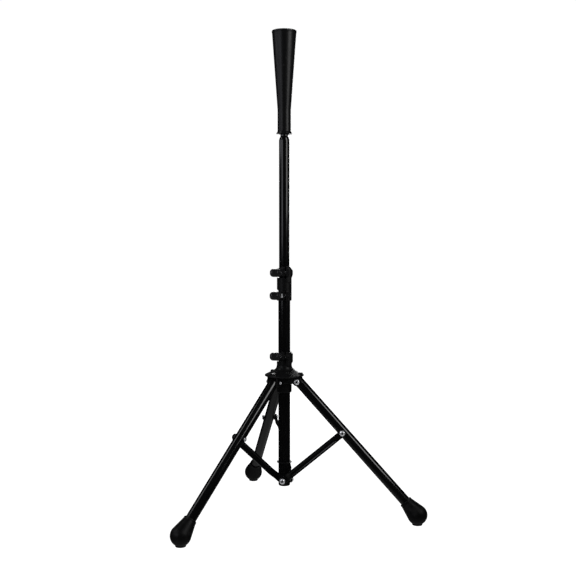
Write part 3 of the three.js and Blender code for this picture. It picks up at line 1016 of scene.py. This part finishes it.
def strip_section():
    """(inset, depth, side) of each ring of a brace's mesh, from its inner face to its outer."""
    edge = 0.9
    steps = 5
    face = [(inset, 0.0) for inset in (1.8, 2.8, 3.4, 4.0, 4.6, 5.2, 6.0, 6.8, STRIP["half"] - 0.001)]
    rim = []
    for i in range(steps + 1):
        angle = math.pi / 2 * i / steps
        rim.append((edge * (1 - math.cos(angle)), edge * (1 - math.sin(angle))))
    half = rim + face
    return [(*ring, 0) for ring in reversed(half)] + [(*ring, 1) for ring in half]


def brace():
    """A pressed strip with round ends, bowed clear of the leg, and a channel down its middle."""
    solid = bmesh.new()
    rings = []
    for inset, deep, side in strip_section():
        ring = []
        for s, across in strip_outline(inset):
            rise = bowed(s)
            near = STRIP["inner"] + BOW["rise"] * rise
            far = near + STRIP["thick"] + (BOW["thick"] - STRIP["thick"]) * rise
            dip = deep + groove(inset, s)
            y = far - dip if side else near + dip
            ring.append(solid.verts.new((s, -y, across)))
        rings.append(ring)
    for low, high in zip(rings, rings[1:]):
        for i in range(len(low)):
            j = (i + 1) % len(low)
            solid.faces.new((low[i], low[j], high[j], high[i]))
    bmesh.ops.remove_doubles(solid, verts=rings[0] + rings[-1], dist=0.01)
    bmesh.ops.dissolve_degenerate(solid, edges=solid.edges, dist=0.0005)
    bmesh.ops.recalc_face_normals(solid, faces=solid.faces)
    return to_mesh(solid, sharp=50)


# ---------------------------------------------------------------- putting it together


def add_clamp(name, node, clamp_body, meshes):
    """A clamp's knob and screw, which turn together, and the nut in its ear."""
    knob_body = f"{name}_knob"
    where = clamp_at(name) @ Matrix.Translation((0, -CLAMP_AXIS * MM, 0))
    root = Matrix.Translation((KNOB["root"] * MM, 0, 0))
    place(f"{node}_knob", meshes["knob"], where @ root @ TO_MINUS_X, "knob_plastic", knob_body)
    place(f"{node}_screw", clamp_screw(BOSS[name]), where @ TO_X, "zinc", knob_body)
    seat = Matrix.Translation(((NUT["pocket"] + GAP) * MM, 0, 0))
    place(f"{node}_nut", meshes["nut"], where @ seat @ TO_X, "black_zinc", clamp_body)


def on_y(where, y, way):
    """A place y millimetres along Y, with the piece turned by way."""
    return where @ Matrix.Translation((0, y * MM, 0)) @ way


def add_leg(letter, meshes):
    """A leg with its pivot and its brace."""
    pivot = side_at(letter, PIVOT.z) @ Matrix.Translation((PIVOT_RADIUS * MM, 0, 0))
    leg = leg_at(letter)
    strut = strut_at(letter)
    foot = leg @ Matrix.Translation((0, 0, -LEG_LENGTH * MM))
    joint = leg @ Matrix.Translation((0, 0, -BRACE_DROP * MM))
    tip = strut @ Matrix.Translation((BRACE_LENGTH * MM, 0, 0))
    root = side_at(letter, BRACE_FOOT.z)
    strip_seat = STRIP["inner"] + STRIP["thick"] + GAP
    leg_body = f"leg_{letter}"
    brace_body = f"brace_{letter}"
    rows = [
        ("leg_pivot_bolt", "pivot_bolt", on_y(pivot, -CHEEK - GAP, TO_MINUS_Y), "zinc", "hub"),
        ("leg_pivot_nut", "nut", on_y(pivot, CHEEK + GAP, TO_Y), "black_zinc", "hub"),
        ("leg_tube", "leg_tube", leg, "black_paint", leg_body),
        ("leg_end_plug", "leg_end_plug", leg, "nylon", leg_body),
        ("rubber_foot", "foot", foot, "foot_rubber", leg_body),
        ("brace_spacer", "spacer", joint, "nylon", leg_body),
        ("brace_bolt_shank", "shank", on_y(joint, 0, TO_Y), "zinc", leg_body),
        ("brace_bolt_nut", "nut", on_y(joint, LEG_RADIUS + GAP, TO_Y), "black_zinc", leg_body),
        ("brace", "brace", strut, "black_paint", brace_body),
        ("brace_bolt_head", "brace_bolt", on_y(tip, -strip_seat, TO_MINUS_Y), "zinc", brace_body),
        ("brace_lower_screw", "lower_screw", on_y(root, -strip_seat, TO_MINUS_Y), "zinc", "column"),
    ]
    for node, mesh, where, finish, body in rows:
        place(f"{node}_{letter}", meshes[mesh], where, finish, body)


def shank_mesh():
    """The bolt that crosses the leg, from the brace's seat to past its nut."""
    low = -STRIP["inner"] + GAP
    end = LEG_RADIUS + GAP + NUT["thick"] + BOLT_PROUD
    start = end - 7
    outline = [(0, low), (BOLT_RADIUS, low)] + turns(start, 6.5)
    outline += [(BOLT_RADIUS, end - 0.4), (BOLT_RADIUS - 0.5, end), (0, end)]
    return to_mesh(lathe(outline, 48, warp=thread(start, end - 0.5)))


def build_tee():
    column = column_at(0)
    collar = column_at(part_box("tube_collar")[0].z)
    meshes = {
        "knob": clamp_knob(),
        "nut": hex_nut(),
        "pivot_bolt": socket_screw(2 * CHEEK + NUT["thick"] + 2 * GAP + BOLT_PROUD),
        "brace_bolt": socket_screw(STRIP["thick"]),
        "lower_screw": socket_screw(11.1),
        "leg_tube": leg_tube(),
        "leg_end_plug": leg_end_plug(),
        "foot": rubber_foot(),
        "spacer": saddle_spacer(),
        "shank": shank_mesh(),
        "brace": brace(),
    }
    place("tripod_hub", tripod_hub(), column_at(PIVOT.z), "black_plastic", "hub")
    place("main_tube", main_tube(), column, "black_paint", "column")
    place("column_end_plug", column_end_plug(), column, "black_plastic", "column")
    place("stop_ring", stop_ring(), column, "foot_rubber", "column")
    place("tube_collar", tube_collar(), collar, "black_plastic", "column")
    place("upper_tube", upper_tube(), column, "black_paint", "upper_section")
    place("upper_tube_guide_plug", guide_plug(), column, "nylon", "upper_section")
    place("ball_cone", ball_cone(), column, "cone_rubber", "upper_section")
    add_clamp("hub", "hub_clamp", "hub", meshes)
    add_clamp("upper", "upper_collar", "column", meshes)
    add_clamp("lower", "lower_collar", "column", meshes)
    for letter in LETTERS:
        add_leg(letter, meshes)


# ---------------------------------------------------------------- studio

CAMERA = {
    "azimuth": 14.645, "distance": 1.9806, "height": 0.6128,
    "pitch": 3.485, "yaw": 0.2315, "lens": 57.99,
}
SOFTBOXES = {
    "right_high_softbox": {
        "azimuth": 56, "distance": 2.4, "height": 1.98, "size": (1.05, 1.65), "power": 40, "aim": 1.98,
    },
    "right_low_softbox": {
        "azimuth": 59, "distance": 2.4, "height": 0.9, "size": (1.3, 0.51), "power": 8.5, "aim": 0.9,
    },
    "left_softbox": {
        "azimuth": -46, "distance": 2.4, "height": 1.2, "size": (1.25, 1.45), "power": 13, "aim": 1.2,
    },
    "left_side_softbox": {
        "azimuth": -82, "distance": 2.0, "height": 1.2, "size": (1.3, 0.5), "power": 4.2, "aim": 1.2,
    },
    "left_high_softbox": {
        "azimuth": -82, "distance": 2.29, "height": 2.91, "size": (0.8, 1.2), "power": 13, "aim": 0.15,
    },
    "back_softbox": {
        "azimuth": 176, "distance": 2.4, "height": 1.2, "size": (0.6, 1.8), "power": 30, "aim": 0.6,
    },
}
COOL = (0.91, 0.92, 1.0)
COOL_SOFTBOXES = ("left_softbox", "left_side_softbox")
FLAG = {"azimuth": 59, "distance": 1.0, "height": 0.24}

# The hub is the fixed body, so the folded legs hang 102 mm lower than the standing feet.
FLOOR_DROP = 0.105


def around(azimuth, distance, height):
    """A point round the column; azimuth is counted from the camera, to its right."""
    heading = math.radians(CAMERA["azimuth"] + azimuth)
    return COLUMN + Vector((distance * math.sin(heading), -distance * math.cos(heading), height))


def add_camera():
    data = bpy.data.cameras.new("camera")
    data.sensor_width = 36
    data.lens = CAMERA["lens"]
    camera = add_object("camera", data)
    camera.location = around(0, CAMERA["distance"], CAMERA["height"])
    camera.rotation_euler = (
        math.radians(90 - CAMERA["pitch"]), 0, math.radians(CAMERA["azimuth"] - CAMERA["yaw"]),
    )
    bpy.context.scene.camera = camera


def add_softbox(name, azimuth, distance, height, size, power, aim):
    """A rectangular light facing a height on the column."""
    data = bpy.data.lights.new(name, "AREA")
    data.shape = "RECTANGLE"
    data.size, data.size_y = size
    data.energy = power
    data.color = COOL if name in COOL_SOFTBOXES else (1, 1, 1)
    light = add_object(name, data)
    light.location = around(azimuth, distance, height)
    way = COLUMN + Vector((0, 0, aim)) - light.location
    light.rotation_euler = way.to_track_quat("-Z", "Y").to_euler()
    light.visible_camera = False


def add_world():
    """White to the eye and on matte surfaces; in reflections dark, with a grey floor far below."""
    world = bpy.data.worlds.new("studio")
    bpy.context.scene.world = world
    world.use_nodes = True
    tree = world.node_tree
    rays = tree.nodes.new("ShaderNodeLightPath")
    mix = tree.nodes.new("ShaderNodeMix")
    mix.data_type = "RGBA"
    tree.links.new(rays.outputs["Is Glossy Ray"], mix.inputs["Factor"])
    colours = [socket for socket in mix.inputs if socket.type == "RGBA"]
    colours[0].default_value = (1.02, 1.02, 1.02, 1)
    direction = tree.nodes.new("ShaderNodeTexCoord").outputs["Generated"]
    parts = tree.nodes.new("ShaderNodeSeparateXYZ")
    tree.links.new(direction, parts.inputs["Vector"])
    tree.links.new(remap(tree, parts.outputs["Z"], -0.8, -0.35, 0.26, 0.003), colours[1])
    result = next(socket for socket in mix.outputs if socket.type == "RGBA")
    tree.links.new(result, tree.nodes["Background"].inputs["Color"])


def add_floor():
    """Plain white paper, low enough for the folded legs and without shadows to the eye."""
    solid = bmesh.new()
    bmesh.ops.create_circle(solid, cap_ends=True, segments=96, radius=6)
    mesh = mesh_of(solid, "floor")
    floor = add_object("floor", mesh)
    floor.location = COLUMN - Vector((0, 0, FLOOR_DROP))
    floor.visible_glossy = False
    material, _, surface, _ = shader("floor_paper", 0.9, specular=0.0)
    surface.inputs["Base Color"].default_value = (0.25, 0.25, 0.25, 1)
    surface.inputs["Emission Color"].default_value = (1, 1, 1, 1)
    surface.inputs["Emission Strength"].default_value = 0.78
    mesh.materials.append(material)


def add_flag():
    """A black card, seen by no camera, that keeps the low right softbox off the legs."""
    card = add_object("flag", to_mesh(block(-500, 500, -2, 2, 0, 350)))
    card.location = around(**FLAG)
    card.rotation_euler.z = math.radians(CAMERA["azimuth"] + FLAG["azimuth"])
    material, _, surface, _ = shader("flag_felt", 1.0, specular=0.0)
    surface.inputs["Base Color"].default_value = (0.01, 0.01, 0.01, 1)
    card.data.materials.append(material)
    card.visible_camera = False


def add_studio():
    bpy.context.scene.view_settings.view_transform = "Standard"
    add_camera()
    add_world()
    add_floor()
    for name, values in SOFTBOXES.items():
        add_softbox(name, **values)
    add_flag()


build_tee()
add_studio()
